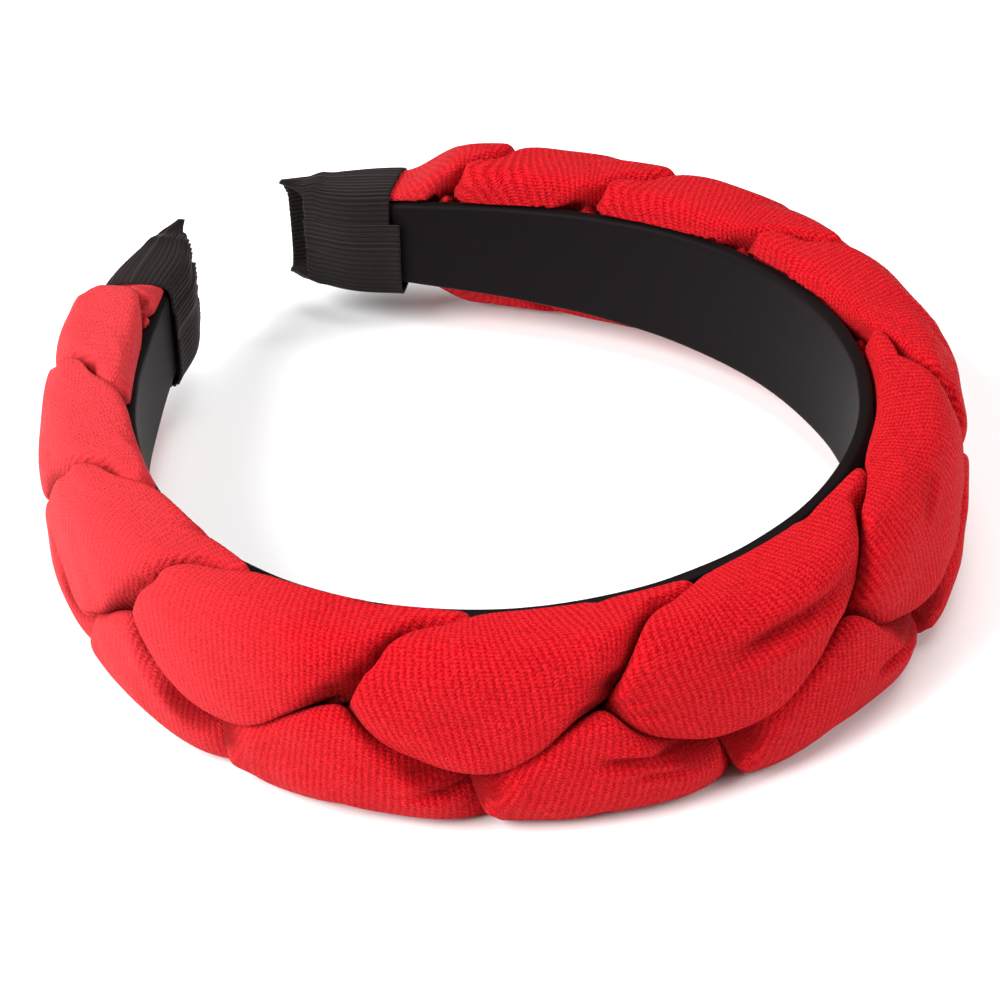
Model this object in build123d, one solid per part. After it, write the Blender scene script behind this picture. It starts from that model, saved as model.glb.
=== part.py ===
from build123d import *
import math
import os

# Driving sizes in millimetres
inner_width = 118.0          # widest gap between the legs, satin to satin
inner_depth = 147.5          # satin at the crown to the ends of the legs
hoop_thickness = 2.4         # stiff hoop with its satin cover
crown_band_width = 31.0      # satin band, top edge to bottom edge, at the crown
end_band_width = 13.4        # the same at the ends of the legs
edge_rounding = 0.7          # rounded long edges of the satin band
crown_braid_width = 35.6     # braid, top edge to bottom edge, at the crown
leg_braid_width = 31.6       # braid on the legs before it gathers
crown_braid_depth = 16.0     # braid, satin band to its outer face, at the crown
leg_braid_depth = 13.4       # the same on the legs
gather_length = 11.0         # stretch over which the braid narrows into its cap
cap_length = 23.0            # ribbon cap along the hoop
cap_wall = 1.0               # one turn of ribbon
mouth_width = 20.4           # inside of the cap where the braid goes in
mouth_depth = 13.0           # satin face to the cap's inside, at the mouth
tip_width = 17.2             # inside of the cap's flat open end
tip_depth = 1.6              # the same, from its inner wall to its outer one
tip_stand = 2.4              # the flat end stands this far outwards of the satin face
inner_swell = 1.2            # how far the cap's inner wall swells off the satin face
tip_setback = 3.4            # how much shorter the inner wall is than the outer one
braid_tuck = 11.0            # braid inside the cap
hoop_tuck = 16.0             # satin band inside the cap
clearance = 0.3              # gap between pieces that lie on each other
strand_gap = 2.45            # gap between strands, room for their flat facets

# One padded strand, as shares of the braid's own width and depth
strand_share = 0.646         # side to side
lone_share = 0.975           # depth where it turns at an edge of the braid
crossed_share = 0.6          # depth where it crosses another
squeeze = 0.26               # how much wider it spreads where it crosses another

# Line of the hoop, seen from above: the bend fades from the crown to the ends
crown_turn = 192.7           # degrees that the line would turn at the crown's bend
fade_second = 0.195          # share of the bend lost with the square of the way
fade_fourth = 1.383          # share of the bend lost with its fourth power
plan_steps = 400             # steps of the sum along one leg
band_taper = 1.64            # higher keeps the band wide further from the crown
cap_slope = 1.7              # higher keeps the cap high further from its mouth

# Upper edge of the braid: where one strand goes over the next, as a share of
# the half length, from the left end to the right end of the hoop
crossing_shares = (
    -1.10, -0.96, -0.835, -0.70, -0.57, -0.42, -0.236, -0.072,
    0.118, 0.313, 0.497, 0.662, 0.80, 0.925, 1.05, 1.18,
)
middle_crossing = 7          # the crossing just left of the crown
strand_count = 3
crossing_phase = 60.0        # degrees on the strand's way from the edge to a crossing
strand_lean = 20.0           # degrees that a crossing strand leans to its side
strand_squareness = 2.4      # section of a strand on its outer side, 2 is an ellipse
seat_squareness = 3.6        # the same on the side that sits on the hoop
braid_squareness = 3.2       # outline of the whole braid on its outer side
foot_squareness = 6.0        # the same down to the hoop
arch_squareness = 3.0        # outline of the cap over the braid
shoulder_share = 0.4         # straight part of the cap's sides
pressed_corner = 7.0         # higher makes sharper corners where strands press
strand_fill = 1.12           # how far a strand would swell past its own width
shortest_reach = 0.02        # the least of it that is left where it is pressed flat

# A strand that comes up leans over the one it lies on, and is pushed down by the one
# that goes under it: how far, and from where to where on its way, in degrees
belly_depth = 3.0
belly_from, belly_to = -35.0, 40.0
push_depth = 1.4
push_from, push_to = 40.0, 150.0

# Facets
stations_per_lobe = 9
strand_points = 15
band_stations = 49
cap_stations = 10
arch_points = 9


def blend(start, end, share):
    return start + (end - start) * share


def heading(share):
    bend = share - fade_second * share ** 3 / 3 - fade_fourth * share ** 5 / 5
    return math.radians(crown_turn) * bend


def make_leg_line():
    # one leg from the crown to its end, in steps, then sized to the hoop
    x, y = 0.0, 0.0
    raw = [(x, y)]
    for step in range(plan_steps):
        middle = heading((step + 0.5) / plan_steps)
        x += math.cos(middle)
        y += math.sin(middle)
        raw.append((x, y))
    widest = max(point[0] for point in raw)
    deepest = max(point[1] for point in raw)
    scale_x = inner_width / 2 / widest
    scale_y = inner_depth / deepest
    return [(point[0] * scale_x, point[1] * scale_y) for point in raw]


leg_line = make_leg_line()
way = [0.0]
for before, after in zip(leg_line, leg_line[1:]):
    way.append(way[-1] + math.dist(before, after))
half_length = way[-1]
cap_start = half_length - cap_length


def index_at(distance):
    # last step of the leg line that starts before this distance
    low, high = 0, plan_steps - 1
    while low < high:
        middle = (low + high + 1) // 2
        if way[middle] <= distance:
            low = middle
        else:
            high = middle - 1
    return low


def on_hoop(distance, outward, up):
    # a point in space: along the hoop, out from the satin face, up its width
    side = -1 if distance < 0 else 1
    travel = min(abs(distance), half_length)
    step = index_at(travel)
    x0, y0 = leg_line[step]
    x1, y1 = leg_line[step + 1]
    part = (travel - way[step]) / (way[step + 1] - way[step])
    # the direction is taken from the steps before and after, so it turns evenly
    xa, ya = leg_line[max(step - 1, 0)]
    xb, yb = leg_line[min(step + 2, plan_steps)]
    ahead_x = blend(x1 - xa, xb - x0, part)
    ahead_y = blend(y1 - ya, yb - y0, part)
    if step == 0:
        ahead_y *= part
    length = math.hypot(ahead_x, ahead_y)
    x = x0 + (x1 - x0) * part + ahead_y / length * outward
    y = y0 + (y1 - y0) * part - ahead_x / length * outward
    return (side * x, y, up)


def smooth(share):
    share = min(max(share, 0.0), 1.0)
    return share * share * (3 - 2 * share)


def band_half(distance):
    # half width of the satin band
    share = min(abs(distance) / half_length, 1.0)
    return blend(crown_band_width, end_band_width, share ** band_taper) / 2


def cap_share(distance):
    return min(max((abs(distance) - cap_start) / cap_length, 0.0), 1.0)


def cap_half(distance):
    # half width inside the cap
    return blend(mouth_width, tip_width, smooth(cap_share(distance))) / 2


def cap_top(distance):
    # inside of the cap over the braid, measured from the satin face
    return blend(mouth_depth, tip_stand + tip_depth, cap_share(distance) ** cap_slope)


def cap_back(distance):
    # inside of the cap under the satin face; past the hoop's end it turns outwards
    turn_start = (hoop_tuck + tip_setback / 2) / cap_length
    share = cap_share(distance)
    swell = inner_swell * math.sin(math.pi * min(share / turn_start, 1.0)) ** 2
    turned_out = smooth((share - turn_start) / (1 - turn_start))
    return blend(-clearance - swell, tip_stand, turned_out)


def gather(distance):
    return smooth((abs(distance) - cap_start + gather_length) / gather_length)


def braid_half(distance):
    share = min(abs(distance) / half_length, 1.0)
    free = blend(crown_braid_width, leg_braid_width, share ** 2) / 2
    return blend(free, cap_half(distance) - 3 * clearance, gather(distance))


def braid_depth(distance):
    share = min(abs(distance) / half_length, 1.0)
    free = blend(crown_braid_depth, leg_braid_depth, share ** 2)
    inside_cap = cap_top(distance) - hoop_thickness - 3 * clearance
    return blend(free, inside_cap, gather(distance))


def lobes_passed(distance):
    # counts the upper crossings from the middle one, with a smooth curve between
    share = distance / half_length
    last = len(crossing_shares) - 3
    low = 1
    while low < last and crossing_shares[low + 1] < share:
        low += 1
    x0, x1, x2, x3 = crossing_shares[low - 1:low + 3]
    part = (share - x1) / (x2 - x1)
    slope_in = 2 * (x2 - x1) / (x2 - x0)
    slope_out = 2 * (x2 - x1) / (x3 - x1)
    rise = part * part * (3 - 2 * part)
    bow_in = part * (1 - part) ** 2 * slope_in
    bow_out = part * part * (part - 1) * slope_out
    return low - middle_crossing + rise + bow_in + bow_out


def strand_phase(strand, distance):
    # 0 at the top edge, a third of a turn behind the strand that goes before
    third = 2 * math.pi / strand_count
    return third / 2 - third * (lobes_passed(distance) + strand)


def wave(phase, start, end):
    # one soft wave between two places on a strand's way
    turned = (math.degrees(phase) + 180) % 360 - 180
    share = min(max((turned - start) / (end - start), 0.0), 1.0)
    return math.sin(math.pi * share)


def strand_core(strand, distance):
    # middle, half depth, half width, lean and place on its way of one strand
    phase = strand_phase(strand, distance)
    half = braid_half(distance)
    depth = braid_depth(distance)
    half_strand = strand_share * half
    spread = half_strand * (1 + squeeze * abs(math.sin(2 * phase)))
    lone = lone_share * depth / 2
    crossed = crossed_share * depth / 2
    crossing = math.radians(crossing_phase)
    thick = blend(lone, crossed, min((math.sin(phase) / math.sin(crossing)) ** 2, 1.0))
    swing = half - half_strand
    lift = (depth / 2 - crossed) / math.sin(2 * crossing)
    outward = hoop_thickness + clearance + depth / 2 + lift * math.sin(2 * phase)
    up = swing * math.cos(phase)
    lean = math.radians(strand_lean) * math.sin(phase) * depth / crown_braid_depth
    return outward, up, thick, spread, lean, phase


def outline_reach(outward, up, step_out, step_up, distance):
    # how far a ray from inside the braid goes to the braid's own outline
    depth = braid_depth(distance)
    middle = hoop_thickness + clearance + depth / 2
    half = braid_half(distance)
    low, high = 0.0, 2.0
    for halving in range(16):
        reach = (low + high) / 2
        height = (outward + step_out * reach - middle) / (depth / 2)
        squareness = braid_squareness if height > 0 else foot_squareness
        spread = abs((up + step_up * reach) / half)
        if spread ** squareness + abs(height) ** squareness > 1:
            high = reach
        else:
            low = reach
    return low


def parting_reaches(strand, cores, step_out, step_up):
    # straight partings halfway to the other strands, each held back by the gap
    own = cores[strand]
    reaches = []
    for other, core in enumerate(cores):
        if other == strand:
            continue
        thick = (own[2] + core[2]) / 2
        wide = (own[3] + core[3]) / 2
        side = -1 if other == (strand + 1) % strand_count else 1
        phase = own[5] if side < 0 else core[5]
        belly = side * belly_depth * wave(phase, belly_from, belly_to)
        push = side * push_depth * wave(phase, push_from, push_to)
        normal_out = (core[0] - own[0] + belly) / thick ** 2
        normal_up = (core[1] - own[1]) / wide ** 2
        pace = normal_out * step_out + normal_up * step_up
        if pace > 0:
            halfway = (normal_out * (core[0] - own[0]) + normal_up * (core[1] - own[1])) / 2
            moved = (push - strand_gap / 2) * math.hypot(normal_out, normal_up)
            reaches.append(max(halfway + moved, 0.0) / pace)
    return reaches


def strand_section(strand, distance):
    cores = [strand_core(each, distance) for each in range(strand_count)]
    outward, up, thick, wide, lean, _ = cores[strand]
    floor = hoop_thickness + clearance
    section = []
    for point in range(strand_points):
        angle = 2 * math.pi * (point + 0.5) / strand_points
        squareness = strand_squareness if math.cos(angle) > 0 else seat_squareness
        across = math.copysign(abs(math.cos(angle)) ** (2 / squareness), math.cos(angle))
        along = math.copysign(abs(math.sin(angle)) ** (2 / squareness), math.sin(angle))
        step_out = thick * across * math.cos(lean) + wide * along * math.sin(lean)
        step_up = wide * along * math.cos(lean) - thick * across * math.sin(lean)
        reaches = parting_reaches(strand, cores, step_out, step_up)
        reaches.append(strand_fill)
        if step_out < 0:
            reaches.append((floor - outward) / step_out)
        # the nearest limit counts, rounded off where two meet
        reach = sum(max(limit, shortest_reach) ** -pressed_corner for limit in reaches)
        reach = reach ** (-1 / pressed_corner)
        reach = min(reach, outline_reach(outward, up, step_out, step_up, distance))
        section.append(on_hoop(distance, outward + step_out * reach, up + step_up * reach))
    return section


def band_section(distance):
    half = band_half(distance)
    thick = hoop_thickness
    cut = edge_rounding
    outline = (
        (cut, -half), (0, cut - half), (0, half - cut), (cut, half),
        (thick - cut, half), (thick, half - cut), (thick, cut - half), (thick - cut, -half),
    )
    return [on_hoop(distance, outward, up) for outward, up in outline]


def cap_section(distance, grow):
    # one wall against the satin face and set back at the tip, arched over the braid
    half = cap_half(distance) + grow
    back = cap_back(distance) - grow
    top = cap_top(distance) + grow
    shoulder = blend(max(hoop_thickness, cap_back(distance)), top, shoulder_share)
    set_back = distance * (1 - tip_setback * cap_share(distance) ** 2 / half_length)
    bevel = edge_rounding + grow
    outline = [(back + bevel, -half), (back, bevel - half), (back, half - bevel), (back + bevel, half)]
    for point in range(arch_points):
        angle = math.pi * point / (arch_points - 1)
        spread = math.copysign(abs(math.cos(angle)) ** (2 / arch_squareness), math.cos(angle))
        height = math.sin(angle) ** (2 / arch_squareness)
        outline.append((shoulder + (top - shoulder) * height, half * spread))
    inner_wall = 4
    section = [on_hoop(set_back, outward, up) for outward, up in outline[:inner_wall]]
    return section + [on_hoop(distance, outward, up) for outward, up in outline[inner_wall:]]


def triangle(a, b, c):
    return Face(Wire.make_polygon([a, b, c]))


def midpoint(points):
    return [sum(point[axis] for point in points) / len(points) for axis in range(3)]


def skin(sections):
    # the side walls between sections, two triangles to each facet, split along
    # the deeper diagonal so that neighbours pressed together stay apart
    faces = []
    for first, second in zip(sections, sections[1:]):
        core = midpoint(list(first) + list(second))
        count = len(first)
        for point in range(count):
            after = (point + 1) % count
            a, b, c, d = first[point], first[after], second[after], second[point]
            if math.dist(midpoint([a, c]), core) < math.dist(midpoint([b, d]), core):
                faces += [triangle(a, b, c), triangle(a, c, d)]
            else:
                faces += [triangle(a, b, d), triangle(b, c, d)]
    return faces


def rim(outer, inner):
    # the flat ring at one end of a sleeve
    faces = []
    count = len(outer)
    for point in range(count):
        after = (point + 1) % count
        faces.append(triangle(outer[point], outer[after], inner[after]))
        faces.append(triangle(outer[point], inner[after], inner[point]))
    return faces


def closed_solid(faces):
    solid = Solid(Shell(faces))
    if solid.volume < 0:
        solid = Solid(Shell([-face for face in faces]))
    return solid


def bar(sections):
    ends = [Face(Wire.make_polygon(sections[0])), Face(Wire.make_polygon(sections[-1]))]
    return closed_solid(skin(sections) + ends)


def sleeve(outer, inner):
    walls = skin(outer) + skin(inner)
    return closed_solid(walls + rim(outer[0], inner[0]) + rim(outer[-1], inner[-1]))


def spaced(start, end, count):
    return [blend(start, end, step / (count - 1)) for step in range(count)]


def make_satin_band():
    end = cap_start + hoop_tuck
    return bar([band_section(distance) for distance in spaced(-end, end, band_stations)])


def strand_stations(end):
    # as many sections in each lobe, wherever the braid is tight or long
    stations = [-end]
    for before, after in zip(crossing_shares, crossing_shares[1:]):
        for step in range(stations_per_lobe):
            distance = half_length * blend(before, after, step / stations_per_lobe)
            if abs(distance) < end - clearance:
                stations.append(distance)
    return stations + [end]


def make_strand(strand):
    end = cap_start + braid_tuck
    return bar([strand_section(strand, distance) for distance in strand_stations(end)])


def make_cap(side):
    stations = spaced(side * cap_start, side * half_length, cap_stations)
    outer = [cap_section(distance, cap_wall) for distance in stations]
    inner = [cap_section(distance, 0.0) for distance in stations]
    return sleeve(outer, inner)


pieces = {"satin_band": make_satin_band()}
for strand in range(strand_count):
    pieces[f"velvet_strand_{strand + 1}"] = make_strand(strand)
pieces["ribbon_cap_left"] = make_cap(-1)
pieces["ribbon_cap_right"] = make_cap(1)

# The origin is under the middle of the headband, on the surface it lies on
boxes = [piece.bounding_box() for piece in pieces.values()]
middle_x = (min(box.min.X for box in boxes) + max(box.max.X for box in boxes)) / 2
middle_y = (min(box.min.Y for box in boxes) + max(box.max.Y for box in boxes)) / 2
lowest = min(box.min.Z for box in boxes)
to_origin = Pos(-middle_x, -middle_y, -lowest)

os.makedirs("parts", exist_ok=True)
for name, piece in pieces.items():
    export_step(piece.moved(to_origin), f"parts/{name}.step")
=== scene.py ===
import math

import bpy
import numpy as np
from mathutils import Matrix, Vector


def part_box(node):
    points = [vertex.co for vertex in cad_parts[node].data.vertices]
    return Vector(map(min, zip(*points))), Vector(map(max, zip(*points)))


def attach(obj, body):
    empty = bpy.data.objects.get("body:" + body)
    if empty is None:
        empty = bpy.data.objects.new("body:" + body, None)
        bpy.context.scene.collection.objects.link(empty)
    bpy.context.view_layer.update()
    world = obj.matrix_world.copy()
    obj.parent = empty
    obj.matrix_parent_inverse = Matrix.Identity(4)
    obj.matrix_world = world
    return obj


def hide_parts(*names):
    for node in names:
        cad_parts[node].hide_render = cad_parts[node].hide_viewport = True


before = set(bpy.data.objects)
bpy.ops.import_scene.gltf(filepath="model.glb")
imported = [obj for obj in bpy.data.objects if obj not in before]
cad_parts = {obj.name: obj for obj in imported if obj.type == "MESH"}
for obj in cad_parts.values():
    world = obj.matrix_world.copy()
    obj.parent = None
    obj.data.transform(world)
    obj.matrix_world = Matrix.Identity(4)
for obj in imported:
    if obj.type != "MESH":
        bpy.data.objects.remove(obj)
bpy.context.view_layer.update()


# Satin band. A springy hoop bent to the head, wrapped in black satin that is glued
# down smooth. It is wide at the crown and narrow at the ends, and the braid and the
# ribbon caps are laid round this line, so the line of the hoop is worked out here.

# sizes in millimetres
inner_width = 118.0
inner_depth = 147.5
hoop_thickness = 2.4
crown_band_width = 31.0
end_band_width = 13.4
band_taper = 1.64
band_rounding = 0.9
cap_length = 23.0
hoop_tuck = 16.0
# the bend of a leg: how far it turns in degrees, and how the bend fades towards the end
crown_turn = 192.7
fade_second = 0.195
fade_fourth = 1.383
line_steps = 800
# the satin ripples a little across its two flat faces
ripple_height = 0.05
ripple_length = 3.1
ripple_drift = 11.0
band_rows = 300
corner_points = 6
flat_face_points = 22
# the weave: fine threads along the band, floated over in a slanting pattern
thread_pitch = 0.32
float_length = 1.1
float_slant = 1.6
float_height = 0.35
satin_black = (0.0062, 0.0042, 0.0046, 1.0)

step_share = (np.arange(line_steps) + 0.5) / line_steps
step_turn = math.radians(crown_turn) * (
    step_share - fade_second * step_share ** 3 / 3 - fade_fourth * step_share ** 5 / 5)
leg_x = np.concatenate([[0.0], np.cumsum(np.cos(step_turn))])
leg_y = np.concatenate([[0.0], np.cumsum(np.sin(step_turn))])
leg_x *= inner_width / 2 / leg_x.max()
leg_y *= inner_depth / leg_y.max()
leg_way = np.concatenate([[0.0], np.cumsum(np.hypot(np.diff(leg_x), np.diff(leg_y)))])
half_length = leg_way[-1]
cap_start = half_length - cap_length
ahead_x = np.gradient(leg_x, leg_way)
ahead_y = np.gradient(leg_y, leg_way)
ahead_y[0] = 0.0

band_low, band_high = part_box("satin_band")
hoop_middle_x = (band_low[0] + band_high[0]) / 2
hoop_crown_y = band_low[1] + hoop_thickness / 1000
hoop_middle_z = (band_low[2] + band_high[2]) / 2


def on_hoop(way, outward, up):
    # millimetres along the hoop from the middle of the crown, out from its satin face and
    # up its width, as a place in metres
    way, outward, up = np.broadcast_arrays(way, outward, up)
    travel = np.clip(np.abs(way), 0.0, half_length)
    x, y = np.interp(travel, leg_way, leg_x), np.interp(travel, leg_way, leg_y)
    along_x, along_y = np.interp(travel, leg_way, ahead_x), np.interp(travel, leg_way, ahead_y)
    length = np.hypot(along_x, along_y)
    x = (x + along_y / length * outward) * np.where(way < 0, -1.0, 1.0)
    y = y - along_x / length * outward
    return np.stack([x / 1000 + hoop_middle_x, y / 1000 + hoop_crown_y,
                     up / 1000 + hoop_middle_z], axis=-1)


def band_width(way):
    share = (np.abs(way) / half_length) ** band_taper
    return crown_band_width + (end_band_width - crown_band_width) * share


def cloth_skin(name, places, threads, material):
    # a closed tube from rows of places; threads are millimetres along and round the cloth
    rows, points = places.shape[:2]
    corner = np.arange(rows * points).reshape(rows, points)
    after = np.roll(corner, -1, axis=1)
    quads = np.stack([corner[:-1], after[:-1], after[1:], corner[1:]], axis=-1).reshape(-1, 4)
    faces = quads.tolist() + [corner[0][::-1].tolist(), corner[-1].tolist()]
    mesh = bpy.data.meshes.new(name)
    mesh.from_pydata(places.reshape(-1, 3).tolist(), [], faces)
    layer = mesh.uv_layers.new(name="threads")
    # the last face of a row runs one more step round, instead of back to the start
    one_round = threads[:, -1:] * 2 - threads[:, -2:-1] - threads[:, :1]
    round_again = np.concatenate([threads, threads[:, :1] + (0.0, 1.0) * one_round], axis=1)
    first, second = round_again[:-1], round_again[1:]
    loops = np.stack([first[:, :-1], first[:, 1:], second[:, 1:], second[:, :-1]], axis=2)
    loops = loops.reshape(-1, 2)
    uv = np.zeros((len(mesh.loops), 2))
    uv[:len(loops)] = loops
    layer.data.foreach_set("uv", uv.ravel())
    mesh.polygons.foreach_set("use_smooth", [True] * len(mesh.polygons))
    mesh.materials.append(material)
    mesh.update()
    piece = bpy.data.objects.new(name, mesh)
    bpy.context.scene.collection.objects.link(piece)
    return piece


def dyed_cloth(name, colour, roughness):
    material = bpy.data.materials.new(name)
    material.use_nodes = True
    nodes, links = material.node_tree.nodes, material.node_tree.links
    shader = nodes["Principled BSDF"]
    shader.inputs["Base Color"].default_value = colour
    shader.inputs["Roughness"].default_value = roughness
    return material, nodes, links, shader


def sum_node(nodes, links, operation, first, second=None, third=None):
    # one step of arithmetic on the threads; numbers are typed in, sockets are linked
    node = nodes.new("ShaderNodeMath")
    node.operation = operation
    for place, value in enumerate((first, second, third)):
        if value is None:
            continue
        if isinstance(value, (int, float)):
            node.inputs[place].default_value = value
        else:
            links.new(value, node.inputs[place])
    return node.outputs[0]


def thread_ways(nodes, links):
    # millimetres along and round the cloth, from the piece's own map
    chart = nodes.new("ShaderNodeUVMap")
    chart.uv_map = "threads"
    split = nodes.new("ShaderNodeSeparateXYZ")
    links.new(chart.outputs["UV"], split.inputs[0])
    return split.outputs["X"], split.outputs["Y"]


satin, nodes, links, shader = dyed_cloth("black_satin", satin_black, 0.52)
shader.inputs["Sheen Weight"].default_value = 0.04
shader.inputs["Sheen Roughness"].default_value = 0.35
shader.inputs["Sheen Tint"].default_value = (0.62, 0.54, 0.56, 1.0)
shader.inputs["Specular IOR Level"].default_value = 0.04
along, across = thread_ways(nodes, links)
warp = sum_node(nodes, links, "SINE",
                sum_node(nodes, links, "MULTIPLY", across, 2 * math.pi / thread_pitch))
slant = sum_node(nodes, links, "MULTIPLY", across, 2 * math.pi / float_slant)
float_wave = sum_node(nodes, links, "SINE", sum_node(
    nodes, links, "MULTIPLY_ADD", along, 2 * math.pi / float_length, slant))
weave = sum_node(nodes, links, "MULTIPLY_ADD", float_wave, float_height, warp)
bump = nodes.new("ShaderNodeBump")
bump.inputs["Strength"].default_value = 0.10
bump.inputs["Distance"].default_value = 0.00008
links.new(weave, bump.inputs["Height"])
links.new(bump.outputs["Normal"], shader.inputs["Normal"])

band_end = cap_start + hoop_tuck
band_way = np.linspace(-band_end, band_end, band_rows)[:, None]
band_half = band_width(band_way) / 2
turn = np.linspace(0.0, math.pi / 2, corner_points)
corner_bend = list(zip(1 - np.cos(turn), 1 - np.sin(turn)))
outward, up, cut_up = [], [], []
# round the band: its lower and upper corner on the satin face, then the two outside
for outside, side_up, bends in ((False, -1, corner_bend[::-1]), (False, 1, corner_bend),
                                (True, 1, corner_bend[::-1]), (True, -1, corner_bend)):
    for bend_out, bend_up in bends:
        outward.append(hoop_thickness - bend_out * band_rounding if outside
                       else bend_out * band_rounding)
        up.append(side_up)
        cut_up.append(bend_up * band_rounding * side_up)
# more points across the two flat faces, so that the satin can ripple there
band_outward, band_up, band_cut = [], [], []
for point in range(len(outward)):
    after = (point + 1) % len(outward)
    flat_face = up[point] != up[after]
    for part in (np.arange(flat_face_points) / flat_face_points if flat_face else [0.0]):
        band_outward.append(outward[point] + (outward[after] - outward[point]) * part)
        band_up.append(up[point] + (up[after] - up[point]) * part)
        band_cut.append(cut_up[point] + (cut_up[after] - cut_up[point]) * part)
band_outward, band_up, band_cut = np.array(band_outward), np.array(band_up), np.array(band_cut)
band_high_up = band_half * band_up - band_cut
ripple = ripple_height * np.sin(
    band_way / ripple_length + 1.3 * np.sin(band_way / ripple_drift)) * np.abs(band_up) ** 6
on_satin_face = np.where(band_outward < hoop_thickness / 2, 1, 0)
band_places = on_hoop(band_way, band_outward + ripple * on_satin_face, band_high_up)
# the way round the band for its threads, at about half the band's width each way
mean_half = 15.0
round_step = np.hypot(np.diff(band_outward), np.diff(band_up * mean_half))
round_band = np.concatenate([[0.0], np.cumsum(round_step)])
band_threads = np.stack(np.broadcast_arrays(band_way, round_band), axis=-1)
satin_band = cloth_skin("satin_cover", band_places, band_threads, satin)
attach(satin_band, "root")
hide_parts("satin_band")


# Velvet strands. Three tubes of ribbed stretch velvet, each filled with wadding and sewn
# shut, braided over and under each other on the outside of the hoop. Each strand bulges
# where it turns at an edge and presses flat where it goes under the next.

# the whole braid, and the room that the ribbon caps leave it, in millimetres
crown_braid_width = 35.6
leg_braid_width = 31.6
crown_braid_depth = 16.0
leg_braid_depth = 12.2
gather_length = 13.0
snug = 0.1
mouth_width = 20.4
mouth_depth = 13.0
tip_width = 18.4
tip_depth = 1.6
tip_stand = 2.4
cap_slope = 1.7
braid_tuck = 11.0
clearance = 0.3
# a strand's width and thickness as shares of the braid's, where it bulges and where it is crossed
strand_share = 0.646
lone_share = 0.975
crossed_share = 0.6
# where two strands cross, as shares of the hoop's half length from the crown, left to right
crossing_shares = np.array((
    -1.17, -1.02, -0.875, -0.722, -0.573, -0.42, -0.236, -0.072,
    0.118, 0.313, 0.497, 0.662, 0.80, 0.925, 1.05, 1.18))
middle_crossing = 7
crossing_angle = 60.0
crossing_rise = 0.65
# a strand leans over as it climbs, in degrees, and is narrower under and over a crossing
strand_lean = 20.0
squeeze = 0.38
over_narrow = 0.07
# how square the outlines are: 2 is an ellipse, more is squarer
strand_squareness = 2.5
seat_squareness = 7.0
braid_squareness = 2.7
foot_squareness = 9.0
under_squareness = 2.3
# how far the velvet is drawn over the band's top edge, from where on, and how it fades in
edge_wrap = 2.3
wrap_start = 66.0
wrap_fade = 35.0
# where a parting is pushed away from the strand that comes up: how far, from and to which
# angle of that strand's way
pushes = ((-1.6, 45.0, 140.0), (2.0, -170.0, -70.0))
# where a parting leans over towards the strand that comes up: how far, from, to
leans = ((4.0, -35.0, 40.0), (-3.5, 40.0, 108.0))
# the seam on top runs aslant: how far, from, to
top_slant = (5.5, -5.0, 75.0)
# how far the wadding fills the strand's room: in all, where it is under, and on its seat
strand_fill = 1.10
under_fill = 0.5
under_span = (-140.0, 10.0)
seat_fill = 2.0
# how sharply the flat partings meet each other, and how sharply they meet the braid's outline
pressed_corner = 5.5
outline_corner = 14.0
pile_gap = 0.12
stuffing_depth = 0.16
strand_rows = 900
strand_points = 96
# how many rows on each side even out a row, and how fast their part falls off
smoothing_rows = 7
row_smoothing = 2.2
# longer than any reach from the middle of a strand to its skin
no_limit = 9.0
# the velvet's own red, a little pinker as a painted sheen on the tips of its pile
velvet_red = (0.65, 0.013, 0.021, 1.0)
# painted shade deep between the ribs and stitches of the pile
velvet_groove_painted_shade = (0.34, 0.0004, 0.0032, 1.0)
# painted shade: the colour where a strand lies under the next and in its pleats
velvet_painted_shade = (0.16, 0.0005, 0.0015, 1.0)
# painted light: the left leg, which the strongest lamp lights most, is painted paler and pinker: its
# share at most, and from where to where it comes in, in metres
velvet_painted_light = (0.72, 0.078, 0.088, 1.0)
painted_light_share = 0.46
painted_light_from = 0.016
painted_light_full = 0.095
# how near its limit a strand counts as lying under the next, and how dark the painted shade gets there
# and in the pleats
tuck_start = 0.68
tuck_shade = 0.85
pleat_shade = 0.35
# the knitted pile lies in ribs round the strand, each a row of small stitches
rib_pitch = 0.95
rib_wander = 0.7
rib_fluff = 0.75
stitch_pitch = 0.66
stitch_shift = 0.37
stitch_fluff = 0.9
stitch_height = 0.9
fluff_height = 9.0
# pile heights below which it takes the painted shade and above which the red with its painted sheen
groove_level = 2.8
tip_level = 6.8
fluff_scale = 2500.0
drift_scale = 160.0


def smooth(share):
    share = np.clip(share, 0.0, 1.0)
    return share * share * (3 - 2 * share)


def cap_share(way):
    return np.clip((np.abs(way) - cap_start) / cap_length, 0.0, 1.0)


def cap_half(way):
    return (mouth_width + (tip_width - mouth_width) * smooth(cap_share(way))) / 2


def cap_top(way):
    return mouth_depth + (tip_stand + tip_depth - mouth_depth) * cap_share(way) ** cap_slope


def braid_size(way):
    # half width and depth of the whole braid, gathered where it goes into a cap
    share = np.minimum(np.abs(way) / half_length, 1.0) ** 2
    gathered = smooth((np.abs(way) - cap_start + gather_length - 2.0) / gather_length)
    half = (crown_braid_width + (leg_braid_width - crown_braid_width) * share) / 2
    depth = crown_braid_depth + (leg_braid_depth - crown_braid_depth) * share
    half = half + (cap_half(way) - snug - half) * gathered
    depth = depth + (cap_top(way) - hoop_thickness - clearance - snug - depth) * gathered
    return half, depth


def lobes_passed(way):
    share = way / half_length
    low = np.clip(np.searchsorted(crossing_shares, share) - 1, 1, len(crossing_shares) - 3)
    x0, x1, x2, x3 = (crossing_shares[low + step] for step in (-1, 0, 1, 2))
    part = (share - x1) / (x2 - x1)
    slope_in = 2 * (x2 - x1) / (x2 - x0)
    slope_out = 2 * (x2 - x1) / (x3 - x1)
    return (low - middle_crossing + part * part * (3 - 2 * part)
            + part * (1 - part) ** 2 * slope_in + part * part * (part - 1) * slope_out)


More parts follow.
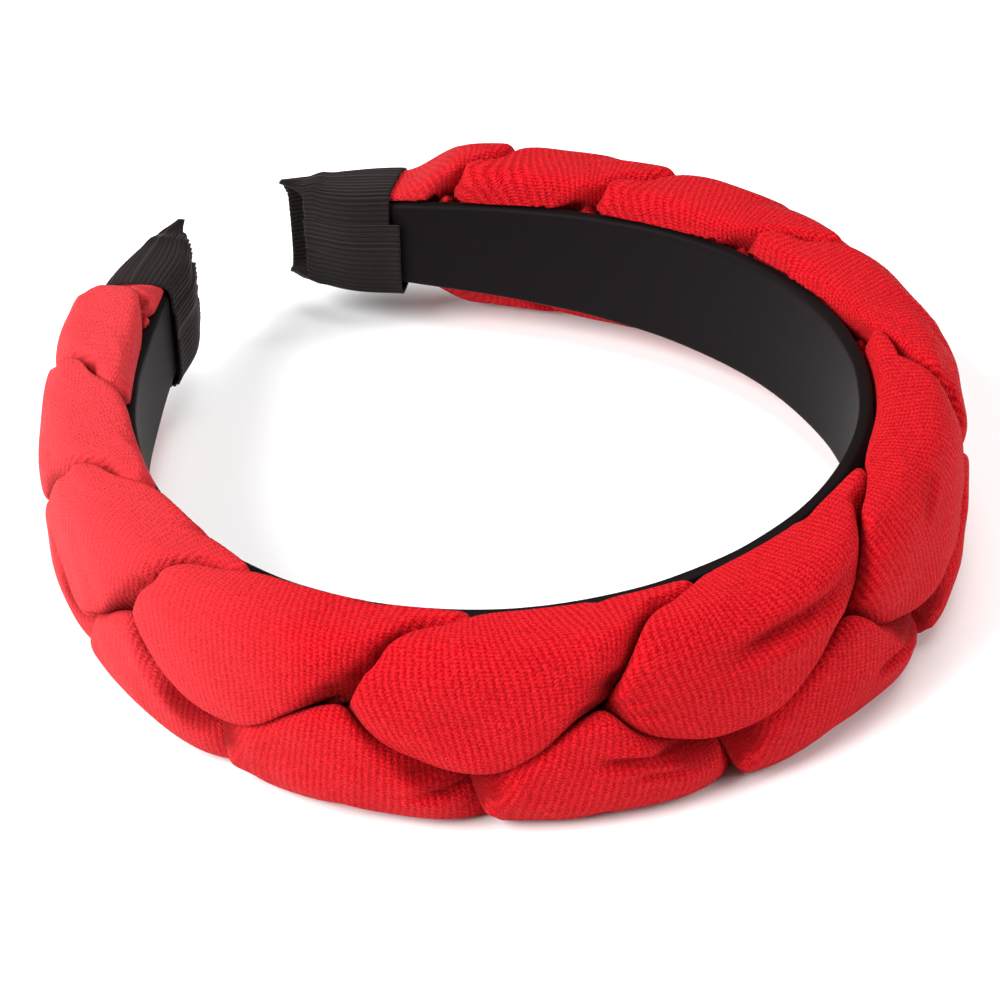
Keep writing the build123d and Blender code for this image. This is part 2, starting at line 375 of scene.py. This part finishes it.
def strand_core(strand, way):
    third = 2 * math.pi / 3
    phase = third / 2 - third * (lobes_passed(way) + strand)
    half, depth = braid_size(way)
    crossing = math.radians(crossing_angle)
    pressed = np.minimum((np.sin(phase) / math.sin(crossing)) ** 2, 1.0)
    lone, crossed = lone_share * depth / 2, crossed_share * depth / 2
    lift = (depth / 2 - crossed) / math.sin(2 * crossing)
    narrower = np.where(np.sin(2 * phase) < 0, -squeeze, -over_narrow) * np.sin(2 * phase)
    return dict(
        out=hoop_thickness + clearance + depth / 2 + lift * np.sin(2 * phase),
        up=(half - strand_share * half) * np.cos(phase) * np.abs(np.cos(phase)) ** (crossing_rise - 1),
        thick=lone + (crossed - lone) * pressed,
        wide=strand_share * half * (1 + narrower),
        lean=math.radians(strand_lean) * np.sin(phase) * depth / crown_braid_depth,
        phase=phase)


def bump_of(phase, start, end):
    # one soft wave between two places on a strand's way, in degrees
    turned = (np.degrees(phase) + 180.0) % 360.0 - 180.0
    share = np.clip((turned - start) / (end - start), 0.0, 1.0)
    return np.sin(math.pi * share)


def first_limit(inside, shape):
    # the length of each ray at which it first leaves the room: in strides, then by halving
    stride, stops, halvings = 0.08, 20, 7
    low = np.zeros(shape)
    going = np.ones(shape, bool)
    for stop in range(1, stops + 1):
        going &= inside(np.full(shape, stop * stride))
        low = np.where(going, stop * stride, low)
    high = low + stride
    for halving in range(halvings):
        reach = (low + high) / 2
        held = inside(reach)
        low, high = np.where(held, reach, low), np.where(held, high, reach)
    return low


# where a strand is pulled under the next, the velvet lies in small pleats
# strand, way and height at the deep end, way and height at the far end, width, depth
pleats = (
    (2, -50.5, 15.0, -59.5, 13.6, 1.0, 0.7),
    (2, -53.0, 12.0, -63.0, 9.4, 1.1, 1.1),
    (2, -55.0, 9.0, -64.0, 4.6, 1.1, 1.3),
    (2, -56.0, 6.0, -62.5, 1.0, 0.9, 0.9),
    (1, -23.0, 7.5, -27.5, 5.6, 0.8, 1.2),
    (1, -22.0, 10.0, -27.0, 9.4, 0.7, 0.75),
    (0, 0.0, 11.0, 17.0, 13.4, 1.5, 1.7),
    (0, -22.0, 6.2, -17.5, 7.2, 0.9, 0.7),
    (0, -20.0, 4.4, -15.0, 4.2, 0.9, 0.6),
    (2, -19.5, -4.6, -7.5, -7.0, 1.0, 1.5),
    (2, -17.0, -8.0, -10.0, -10.0, 0.8, 0.75),
    (0, -42.0, -9.2, -48.0, -10.0, 0.9, 1.4),
    (0, -43.0, -6.5, -48.5, -5.0, 0.7, 0.75),
    (0, -101.0, -2.2, -96.0, 1.5, 0.8, 1.4),
    (0, -86.0, 13.5, -93.0, 10.0, 0.8, 1),
    (0, -87.0, 9.0, -95.0, 3.0, 0.9, 1),
    (2, 33.0, 14.0, 27.0, 11.0, 0.9, 0.6),
    (1, 20.0, -8.0, 31.0, -9.0, 0.9, 1.2),
    (1, 67.0, 13.0, 58.0, 8.0, 1.0, 1.2),
    (1, 69.0, 15.5, 61.0, 13.5, 0.8, 0.9),
    (0, 104.0, 12.0, 94.0, 8.0, 1.0, 1.2),
    (0, 105.0, 14.5, 97.0, 13.0, 0.7, 0.9),
    (2, 135.0, 11.5, 126.0, 8.0, 0.9, 1.2),
    (1, 160.0, 8.0, 152.0, 4.0, 0.8, 1),
    (1, -124.0, 12.0, -131.0, 8.0, 0.8, 1),
    (2, -148.0, 9.0, -154.0, 5.0, 0.8, 0.9),
    (1, 62.0, -9.0, 72.0, -8.0, 0.8, 1),
    (0, 75.0, -5.0, 84.0, -8.0, 0.8, 1),
    (2, 98.0, -9.0, 108.0, -9.0, 0.8, 1),
)


def pleated(strand, way, out, up):
    # how far the pleats draw the velvet in, on the side that faces out
    drawn = np.zeros(out.shape)
    for tube, way_deep, up_deep, way_end, up_end, width, deep in pleats:
        if tube != strand:
            continue
        run_way, run_up = way_end - way_deep, up_end - up_deep
        run = math.hypot(run_way, run_up)
        ahead = ((way[:, None] - way_deep) * run_way + (up - up_deep) * run_up) / run ** 2
        aside = ((way[:, None] - way_deep) * run_up - (up - up_deep) * run_way) / run
        fade = smooth((1.15 - ahead) / 0.9) * smooth((ahead + 0.5) / 0.4)
        # the cloth stands up a little on both sides of a pleat
        groove = np.exp(-(aside / width) ** 2)
        beside = np.exp(-((np.abs(aside) - 2.1 * width) / width) ** 2)
        drawn += deep * fade * (groove - 0.35 * beside)
    # the wadding isn't even: it swells and sinks a little from place to place
    start = 1.7 * strand
    uneven = (np.sin(way[:, None] / 4.3 + start) * np.sin(up / 3.1 + 2.1 * start)
              + 0.6 * np.sin(way[:, None] / 2.6 - up / 4.0 + 3.3 * start)
              + 0.5 * np.sin(way[:, None] / 1.9 + up / 1.7 + start))
    half, depth = braid_size(way)
    facing = smooth((out - hoop_thickness - depth[:, None] * 0.35) / 3.0)
    return (drawn + stuffing_depth * uneven) * facing


def strand_outline(strand, way):
    # out from the satin face and up the width, for each row and each point round the strand
    cores = [strand_core(each, way) for each in range(3)]
    own = cores[strand]
    angle = 2 * math.pi * (np.arange(strand_points) + 0.5) / strand_points
    squareness = np.where(np.cos(angle) > 0, strand_squareness, seat_squareness)
    across = np.sign(np.cos(angle)) * np.abs(np.cos(angle)) ** (2 / squareness)
    round_ = np.sign(np.sin(angle)) * np.abs(np.sin(angle)) ** (2 / squareness)
    cosine, sine = np.cos(own["lean"])[:, None], np.sin(own["lean"])[:, None]
    thick, wide = own["thick"][:, None], own["wide"][:, None]
    step_out = thick * across * cosine + wide * round_ * sine
    step_up = wide * round_ * cosine - thick * across * sine
    start_out, start_up = own["out"][:, None], own["up"][:, None]
    half, depth = braid_size(way)
    shape = step_out.shape
    tucks = []
    # under the next strand the wadding is pressed out until it fills its room
    pressed_out = under_fill * bump_of(own["phase"], *under_span)
    on_seat = smooth(-2 * np.cos(angle))
    limits = [strand_fill + (seat_fill - strand_fill) * on_seat + pressed_out[:, None]]
    for each, core in enumerate(cores):
        if each == strand:
            continue
        # a flat parting halfway to the other strand, held back by the pile
        thick_both, wide_both = (own["thick"] + core["thick"]) / 2, (own["wide"] + core["wide"]) / 2
        to_out, to_up = core["out"] - own["out"], core["up"] - own["up"]
        rising, side = (own, -1) if each == (strand + 1) % 3 else (core, 1)
        leaning = sum(side * amount * bump_of(rising["phase"], start, end)
                      for amount, start, end in leans)
        normal_out, normal_up = (to_out + leaning) / thick_both ** 2, to_up / wide_both ** 2
        pushed = sum(-side * amount * bump_of(rising["phase"], start, end)
                     for amount, start, end in pushes)
        pushed = pushed - pile_gap / 2
        steep = np.hypot(normal_out, normal_up)
        halfway = (normal_out * to_out + normal_up * to_up) / 2 + pushed * steep
        pace = normal_out[:, None] * step_out + normal_up[:, None] * step_up
        pace_on = np.maximum(pace, 1e-6)
        flat_limit = np.where(pace > 0, halfway[:, None] / pace_on, no_limit)
        # over the top of the braid the seam runs aslant, from the satin's edge to the outside
        high = smooth(((start_up + step_up * flat_limit) / half[:, None] - 0.1) / 0.5)
        slant_depth, slant_start, slant_end = top_slant
        slanted = -side * slant_depth * bump_of(rising["phase"], slant_start, slant_end) * steep
        seam = halfway[:, None] + slanted[:, None] * high
        limits.append(np.where(pace > 0, seam / pace_on, no_limit))
        tucks.append((smooth((core["out"] - own["out"]) / 3.0)[:, None], limits[-1]))

    def in_braid(reach):
        spread = np.abs((start_up + step_up * reach) / half[:, None])
        height = (start_out + step_out * reach - hoop_thickness - clearance) / depth[:, None] * 2 - 1
        above = start_up + step_up * reach > 0
        near_satin = np.where(above, foot_squareness, under_squareness)
        squareness = np.where(height > 0, braid_squareness, near_satin)
        return spread ** squareness + np.abs(height) ** squareness < 1

    floor = hoop_thickness + clearance
    limits.append(np.where(step_out < 0, (floor - start_out) / np.minimum(step_out, -1e-6), no_limit))
    reach = sum(np.maximum(limit, 0.02) ** -pressed_corner for limit in limits)
    reach = reach ** (-1 / pressed_corner)
    outline = first_limit(in_braid, shape)
    reach = (reach ** -outline_corner + outline ** -outline_corner) ** (-1 / outline_corner)
    # painted shade near the parting where this strand lies under another
    painted_shade = sum(under * smooth((reach / limit - tuck_start) / (1 - tuck_start))
                 for under, limit in tucks)
    out, up = start_out + step_out * reach, start_up + step_up * reach
    # velvet over wadding bends softly, so each row is evened out with the rows beside it
    near = np.arange(-smoothing_rows, smoothing_rows + 1)
    weights = np.exp(-(near / row_smoothing) ** 2 / 2)
    weights /= weights.sum()
    beside = np.clip(np.arange(len(way))[:, None] + near, 0, len(way) - 1)
    out, up = (np.einsum("rnp,n->rp", each[beside], weights) for each in (out, up))
    # on the legs the velvet is drawn over the band's top edge; at the crown it stands beside it
    wrapped = edge_wrap * smooth((np.abs(way) - wrap_start) / wrap_fade)[:, None]
    past_edge = smooth((up - band_width(way)[:, None] / 2 - 0.1) / 0.5)
    near_hoop = 1 - smooth((out - hoop_thickness) / 5.0)
    out = out - wrapped * past_edge * near_hoop
    drawn = pleated(strand, way, out, up)
    # it also returns the painted shade, with more in the pleats and where the wadding sinks
    return own, out - drawn, up, np.clip(painted_shade + pleat_shade * drawn, 0.0, 1.0)


velvet, nodes, links, shader = dyed_cloth("red_velvet", velvet_red, 0.62)
shader.inputs["Sheen Weight"].default_value = 0.11
shader.inputs["Sheen Roughness"].default_value = 0.38
shader.inputs["Sheen Tint"].default_value = (1.0, 0.17, 0.17, 1.0)
shader.inputs["Specular IOR Level"].default_value = 0.03
along, around = thread_ways(nodes, links)
place = nodes.new("ShaderNodeTexCoord")
fluff = nodes.new("ShaderNodeTexNoise")
fluff.inputs["Scale"].default_value = fluff_scale
fluff.inputs["Detail"].default_value = 2.0
fluff.inputs["Roughness"].default_value = 0.7
links.new(place.outputs["Object"], fluff.inputs["Vector"])
drift = nodes.new("ShaderNodeTexNoise")
drift.inputs["Scale"].default_value = drift_scale
drift.inputs["Detail"].default_value = 1.0
links.new(place.outputs["Object"], drift.inputs["Vector"])
# the ribs wander a little, and each row of stitches is shifted a part of a stitch from the last
rib_way = sum_node(nodes, links, "MULTIPLY_ADD", drift.outputs["Fac"], rib_wander, along)
rib_way = sum_node(nodes, links, "MULTIPLY_ADD", fluff.outputs["Fac"], rib_fluff, rib_way)
rib = sum_node(nodes, links, "SINE",
               sum_node(nodes, links, "MULTIPLY", rib_way, 2 * math.pi / rib_pitch))
row = sum_node(nodes, links, "FLOOR", sum_node(nodes, links, "DIVIDE", rib_way, rib_pitch))
stitch_way = sum_node(nodes, links, "MULTIPLY_ADD", row, stitch_pitch * stitch_shift, around)
stitch_way = sum_node(nodes, links, "MULTIPLY_ADD", fluff.outputs["Fac"], stitch_fluff, stitch_way)
stitch = sum_node(nodes, links, "SINE",
                  sum_node(nodes, links, "MULTIPLY", stitch_way, 2 * math.pi / stitch_pitch))
# the height of the pile, from its ribs, its stitches and its fluff
pile = sum_node(nodes, links, "MULTIPLY_ADD", stitch, stitch_height, rib)
pile = sum_node(nodes, links, "MULTIPLY_ADD", fluff.outputs["Fac"], fluff_height, pile)
bump = nodes.new("ShaderNodeBump")
bump.inputs["Strength"].default_value = 0.55
bump.inputs["Distance"].default_value = 0.00020
links.new(pile, bump.inputs["Height"])
links.new(bump.outputs["Normal"], shader.inputs["Normal"])
# painted shade between the ribs and stitches, and the red with a little painted sheen on the pile's
# tips, by the pile's height
shade = nodes.new("ShaderNodeMapRange")
shade.inputs["From Min"].default_value = groove_level
shade.inputs["From Max"].default_value = tip_level
links.new(pile, shade.inputs["Value"])
rib_tone = nodes.new("ShaderNodeMix")
rib_tone.data_type = "RGBA"
rib_tone.inputs["A"].default_value = velvet_groove_painted_shade
rib_tone.inputs["B"].default_value = velvet_red
links.new(shade.outputs["Result"], rib_tone.inputs["Factor"])
from_crown = nodes.new("ShaderNodeSeparateXYZ")
links.new(place.outputs["Object"], from_crown.inputs["Vector"])
# metres towards the end of the left leg, back and to the left
leftward = sum_node(nodes, links, "SUBTRACT", from_crown.outputs["Y"], from_crown.outputs["X"])
# painted light: how much of the paler, pinker colour is painted on, rising towards the end of the left
# leg
lean = nodes.new("ShaderNodeMapRange")
lean.inputs["From Min"].default_value = painted_light_from
lean.inputs["From Max"].default_value = painted_light_full
lean.inputs["To Max"].default_value = painted_light_share
links.new(leftward, lean.inputs["Value"])
# mix in the painted light
painted_light_mix = nodes.new("ShaderNodeMix")
painted_light_mix.data_type = "RGBA"
painted_light_mix.inputs["B"].default_value = velvet_painted_light
links.new(lean.outputs["Result"], painted_light_mix.inputs["Factor"])
links.new(rib_tone.outputs["Result"], painted_light_mix.inputs["A"])
# painted shade: the velvet is darker where a strand lies under the next and in the pleats
painted_shade_node = nodes.new("ShaderNodeAttribute")
painted_shade_node.attribute_name = "painted_shade"
shaded = nodes.new("ShaderNodeMix")
shaded.data_type = "RGBA"
shaded.inputs["B"].default_value = velvet_painted_shade
links.new(sum_node(nodes, links, "MULTIPLY", painted_shade_node.outputs["Fac"], tuck_shade), shaded.inputs["Factor"])
links.new(painted_light_mix.outputs["Result"], shaded.inputs["A"])
links.new(shaded.outputs["Result"], shader.inputs["Base Color"])

strand_end = cap_start + braid_tuck
strand_way = np.linspace(-strand_end, strand_end, strand_rows)
for strand in range(3):
    own, out, up, painted_shade = strand_outline(strand, strand_way)
    places = on_hoop(strand_way[:, None], out, up)
    core_places = on_hoop(strand_way, own["out"], own["up"]) * 1000
    core_step = np.gradient(core_places, axis=0)
    core_length = np.linalg.norm(core_step, axis=1)
    travelled = np.concatenate([[0.0], np.cumsum((core_length[1:] + core_length[:-1]) / 2)])
    heading = core_step / core_length[:, None]
    lead = np.einsum("rpc,rc->rp", places * 1000 - core_places[:, None], heading)
    round_step = np.linalg.norm(np.diff(places, axis=1), axis=2) * 1000
    round_start = np.zeros((strand_rows, 1))
    round_way = np.concatenate([round_start, np.cumsum(round_step, axis=1)], axis=1)
    threads = np.stack([travelled[:, None] + lead, round_way], axis=-1)
    tube = cloth_skin(f"velvet_tube_{strand + 1}", places, threads, velvet)
    # each point of the tube keeps its share of the painted shade
    painted_shade_marks = tube.data.attributes.new("painted_shade", "FLOAT", "POINT")
    painted_shade_marks.data.foreach_set("value", painted_shade.ravel().astype(np.float32))
    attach(tube, "root")
    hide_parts(f"velvet_strand_{strand + 1}")


# Ribbon caps. A piece of black grosgrain wound a little more than once round each end of
# the hoop and braid and glued, its ribs along the hoop. It starts on the satin face, goes
# over the top and round, and ends on itself; the far end is pressed into a flat open tip.

# millimetres, and shares of one turn round the cap
ribbon_thickness = 0.42
ribbon_gap = 0.08
ribbon_turns = 1.22
ribbon_start = 0.575
rib_width = 1.05
rib_height = 0.30
weft_pitch = 0.35
cap_rows = 44
cap_points = 700
# the cap is arched over the braid and nearly flat on the satin
arch_power = 2 / 2.6
flat_power = 0.28
shoulder_share = 0.4
inner_swell = 1.1
tip_setback = 5.0
# the outer end of the ribbon was cut on the skew, more so at the right
mouth_skews = {"left": 0.5, "right": 2.4}
# the tip is pressed flat from this share of the cap on, with a soft ridge before it
press_start = 0.76
press_narrow = 0.30
press_ridge = 0.35
curl_start = 0.86
curl_out = 1.6
curl_up = 0.7
ribbon_black = (0.0036, 0.0022, 0.0022, 1.0)
ribbon_edge = (0.024, 0.015, 0.015, 1.0)
# small gathers at the pressed tip: place round the ribbon, width, depth
gathers = ((0.06, 0.010, 0.30), (0.16, 0.012, 0.35), (0.29, 0.014, 0.30), (0.41, 0.012, 0.35),
           (0.55, 0.014, 0.30), (0.68, 0.012, 0.35), (0.80, 0.012, 0.30), (0.93, 0.010, 0.30))

grosgrain, nodes, links, shader = dyed_cloth("black_grosgrain", ribbon_black, 0.7)
shader.inputs["Sheen Weight"].default_value = 0.14
shader.inputs["Sheen Roughness"].default_value = 0.5
shader.inputs["Sheen Tint"].default_value = (0.55, 0.44, 0.44, 1.0)
shader.inputs["Specular IOR Level"].default_value = 0.12
along, around = thread_ways(nodes, links)
weft = sum_node(nodes, links, "SINE",
                sum_node(nodes, links, "MULTIPLY", along, 2 * math.pi / weft_pitch))
ribs = sum_node(nodes, links, "COSINE",
                sum_node(nodes, links, "MULTIPLY", around, 2 * math.pi / rib_width))
weave = sum_node(nodes, links, "MULTIPLY_ADD", weft, 0.3, ribs)
bump = nodes.new("ShaderNodeBump")
bump.inputs["Strength"].default_value = 0.3
bump.inputs["Distance"].default_value = 0.0001
links.new(weave, bump.inputs["Height"])
links.new(bump.outputs["Normal"], shader.inputs["Normal"])
worn = nodes.new("ShaderNodeMapRange")
worn.inputs["From Min"].default_value = 0.2
worn.inputs["From Max"].default_value = -1.3
links.new(weave, worn.inputs["Value"])
rib_tone = nodes.new("ShaderNodeMix")
rib_tone.data_type = "RGBA"
rib_tone.inputs["A"].default_value = ribbon_black
rib_tone.inputs["B"].default_value = ribbon_edge
links.new(worn.outputs["Result"], rib_tone.inputs["Factor"])
links.new(rib_tone.outputs["Result"], shader.inputs["Base Color"])


def cap_back(way):
    # inside of the cap under the satin face; past the hoop's end it turns outwards
    turn_start = (hoop_tuck + tip_setback / 2) / cap_length
    share = cap_share(way)
    swell = inner_swell * np.sin(math.pi * np.minimum(share / turn_start, 1.0)) ** 2
    turned_out = smooth((share - turn_start) / (1 - turn_start))
    return (-clearance - swell) * (1 - turned_out) + tip_stand * turned_out


def cap_outline(way, angle, grow):
    # the loop inside the cap at an angle round it: flat on the satin, arched over the braid
    share = cap_share(way)
    pressed = smooth((share - press_start) / 0.06)
    ridge = press_ridge * np.exp(-((share - press_start + 0.05) / 0.05) ** 2)
    half = cap_half(way) + grow - press_narrow * pressed + ridge
    top, back = cap_top(way) + grow, cap_back(way) - grow
    base = np.maximum(hoop_thickness, cap_back(way))
    shoulder = base + (top - base) * shoulder_share
    over = np.sin(angle) > 0
    power = np.where(over, arch_power, flat_power)
    sine = np.abs(np.sin(angle)) ** power
    cosine = np.sign(np.cos(angle)) * np.abs(np.cos(angle)) ** power
    outward = shoulder + (np.where(over, top, back) - shoulder) * sine
    return outward, half * cosine


# equal steps of ribbon round the middle of the cap, counted from the top edge, front first
even_angle = np.linspace(0.0, 2 * math.pi, 4001)
even_out, even_up = cap_outline(cap_start + cap_length * 0.4, even_angle, 0.3)
even_way = np.concatenate([[0.0], np.cumsum(np.hypot(np.diff(even_out), np.diff(even_up)))])
for side, name in ((-1, "left"), (1, "right")):
    wound = np.linspace(0.0, ribbon_turns, cap_points)
    # it starts on the satin face, low down, and first goes up and over the top edge
    round_share = (ribbon_start + wound) % 1.0
    angle = np.interp(round_share * even_way[-1], even_way, even_angle)
    rows = np.linspace(0.0, 1.0, cap_rows)[:, None]
    skew = mouth_skews[name] * (1 - wound / ribbon_turns)
    on_inner_wall = smooth((-np.sin(angle) - 0.15) / 0.5)
    # the cut edge of the tip is a little frayed
    frayed = 0.10 * np.sin(wound * 310.0) + 0.08 * np.sin(wound * 523.0 + side)
    tip_cut = tip_setback * on_inner_wall + frayed
    way = side * (cap_start + skew + (cap_length - skew - tip_cut) * rows)
    share = cap_share(way)
    tucks = sum(deep * np.exp(-((round_share - at) / width) ** 2) for at, width, deep in gathers)
    tucks = tucks * np.exp(-((share - press_start) / 0.10) ** 2)
    inner_out, inner_up = cap_outline(way, angle, ribbon_gap + ribbon_thickness * wound - tucks)
    outer_out, outer_up = cap_outline(way, angle, ribbon_gap + ribbon_thickness * (wound + 1) - tucks)
    # the top corner of the tip curls in and up
    curl = smooth((share - curl_start) / 0.14) * smooth((inner_up / cap_half(way) - 0.55) / 0.4)
    inner_out, outer_out = inner_out - curl_out * curl, outer_out - curl_out * curl
    inner_up, outer_up = inner_up + curl_up * curl, outer_up + curl_up * curl
    inner, outer = on_hoop(way, inner_out, inner_up), on_hoop(way, outer_out, outer_up)
    step = np.linalg.norm(np.diff(outer[cap_rows // 4], axis=0), axis=1) * 1000
    wound_way = np.concatenate([[0.0], np.cumsum(step)])
    # the grooves between the ribs
    rib = rib_height * (0.5 - 0.5 * np.cos(2 * math.pi * wound_way / rib_width)) ** 3
    outer = outer + (inner - outer) * (rib / ribbon_thickness)[None, :, None]
    strip = np.concatenate([outer, inner[:, ::-1]], axis=1)
    wound_both = np.concatenate([wound_way, wound_way[::-1]])
    threads = np.stack(np.broadcast_arrays(np.abs(way[:, :1]), wound_both[None]), axis=-1)
    ribbon = cloth_skin(f"ribbon_{name}", strip, threads, grosgrain)
    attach(ribbon, "root")
    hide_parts(f"ribbon_cap_{name}")


# Table. A sheet of plain white paper under the headband, large enough to fill the view
# from any side, and a hair below the velvet that lies on it.
table_half = 6.0
table_drop = 0.0002
table_mesh = bpy.data.meshes.new("table")
table_mesh.from_pydata([(-table_half, -table_half, 0), (table_half, -table_half, 0),
                        (table_half, table_half, 0), (-table_half, table_half, 0)],
                       [], [(0, 1, 2, 3)])
table = bpy.data.objects.new("table", table_mesh)
bpy.context.scene.collection.objects.link(table)
paper, nodes, links, shader = dyed_cloth("white_paper", (0.93, 0.93, 0.93, 1.0), 0.9)
shader.inputs["Specular IOR Level"].default_value = 0.1
table_mesh.materials.append(paper)
table.location.z = -table_drop


# Light. A studio with a little soft white light all round and three large round soft
# boxes: the strongest at the left, one overhead and one at the front right.
room_light = 0.14
world = bpy.data.worlds.new("studio")
bpy.context.scene.world = world
world.use_nodes = True
room = world.node_tree.nodes["Background"]
room.inputs["Color"].default_value = (1.0, 1.0, 1.0, 1.0)
room.inputs["Strength"].default_value = room_light


def soft_box(name, place, size, power):
    # a lamp that faces the middle of the table
    lamp = bpy.data.lights.new(name, "AREA")
    lamp.shape = "DISK"
    lamp.size = size
    lamp.energy = power
    holder = bpy.data.objects.new(name, lamp)
    holder.location = place
    holder.rotation_mode = "QUATERNION"
    holder.rotation_quaternion = Vector(place).to_track_quat("Z", "Y")
    bpy.context.scene.collection.objects.link(holder)


soft_box("left_box", (-1.25, 0.1, 0.95), 1.2, 48.0)
soft_box("top_box", (0.3, -0.1, 1.5), 1.2, 17.0)
soft_box("right_box", (1.0, -1.1, 0.9), 0.9, 15.0)
bpy.context.scene.view_settings.view_transform = "Standard"


# Camera. A long lens from the front left, about 35 degrees above the table, turned a
# little on its own line, so that the headband lies in the frame as in the photo.
# angles in degrees, the roll in radians; distances in metres, the lens in millimetres
camera_height = 35.2
camera_turn = -31.8
camera_roll = -0.0624
camera_distance = 0.775
lens_length = 167.2
film_width = 36.0
# the place it looks at, from the inside of the crown
aim_right = -0.0063
aim_back = 0.05265
turn, height = math.radians(camera_turn), math.radians(camera_height)
back = np.array((math.sin(turn) * math.cos(height), -math.cos(turn) * math.cos(height),
                 math.sin(height)))
right = np.cross(-back, (0, 0, 1))
right /= np.linalg.norm(right)
upward = np.cross(right, -back)
right, upward = (right * math.cos(camera_roll) + upward * math.sin(camera_roll),
                 upward * math.cos(camera_roll) - right * math.sin(camera_roll))
aim = np.array((hoop_middle_x + aim_right, hoop_crown_y + aim_back, hoop_middle_z))
stand = aim + back * camera_distance
lens = bpy.data.cameras.new("camera")
lens.lens = lens_length
lens.sensor_width = film_width
lens.clip_start = 0.05
camera = bpy.data.objects.new("camera", lens)
camera.matrix_world = Matrix((
    (right[0], upward[0], back[0], stand[0]), (right[1], upward[1], back[1], stand[1]),
    (right[2], upward[2], back[2], stand[2]), (0, 0, 0, 1)))
bpy.context.scene.collection.objects.link(camera)
bpy.context.scene.camera = camera
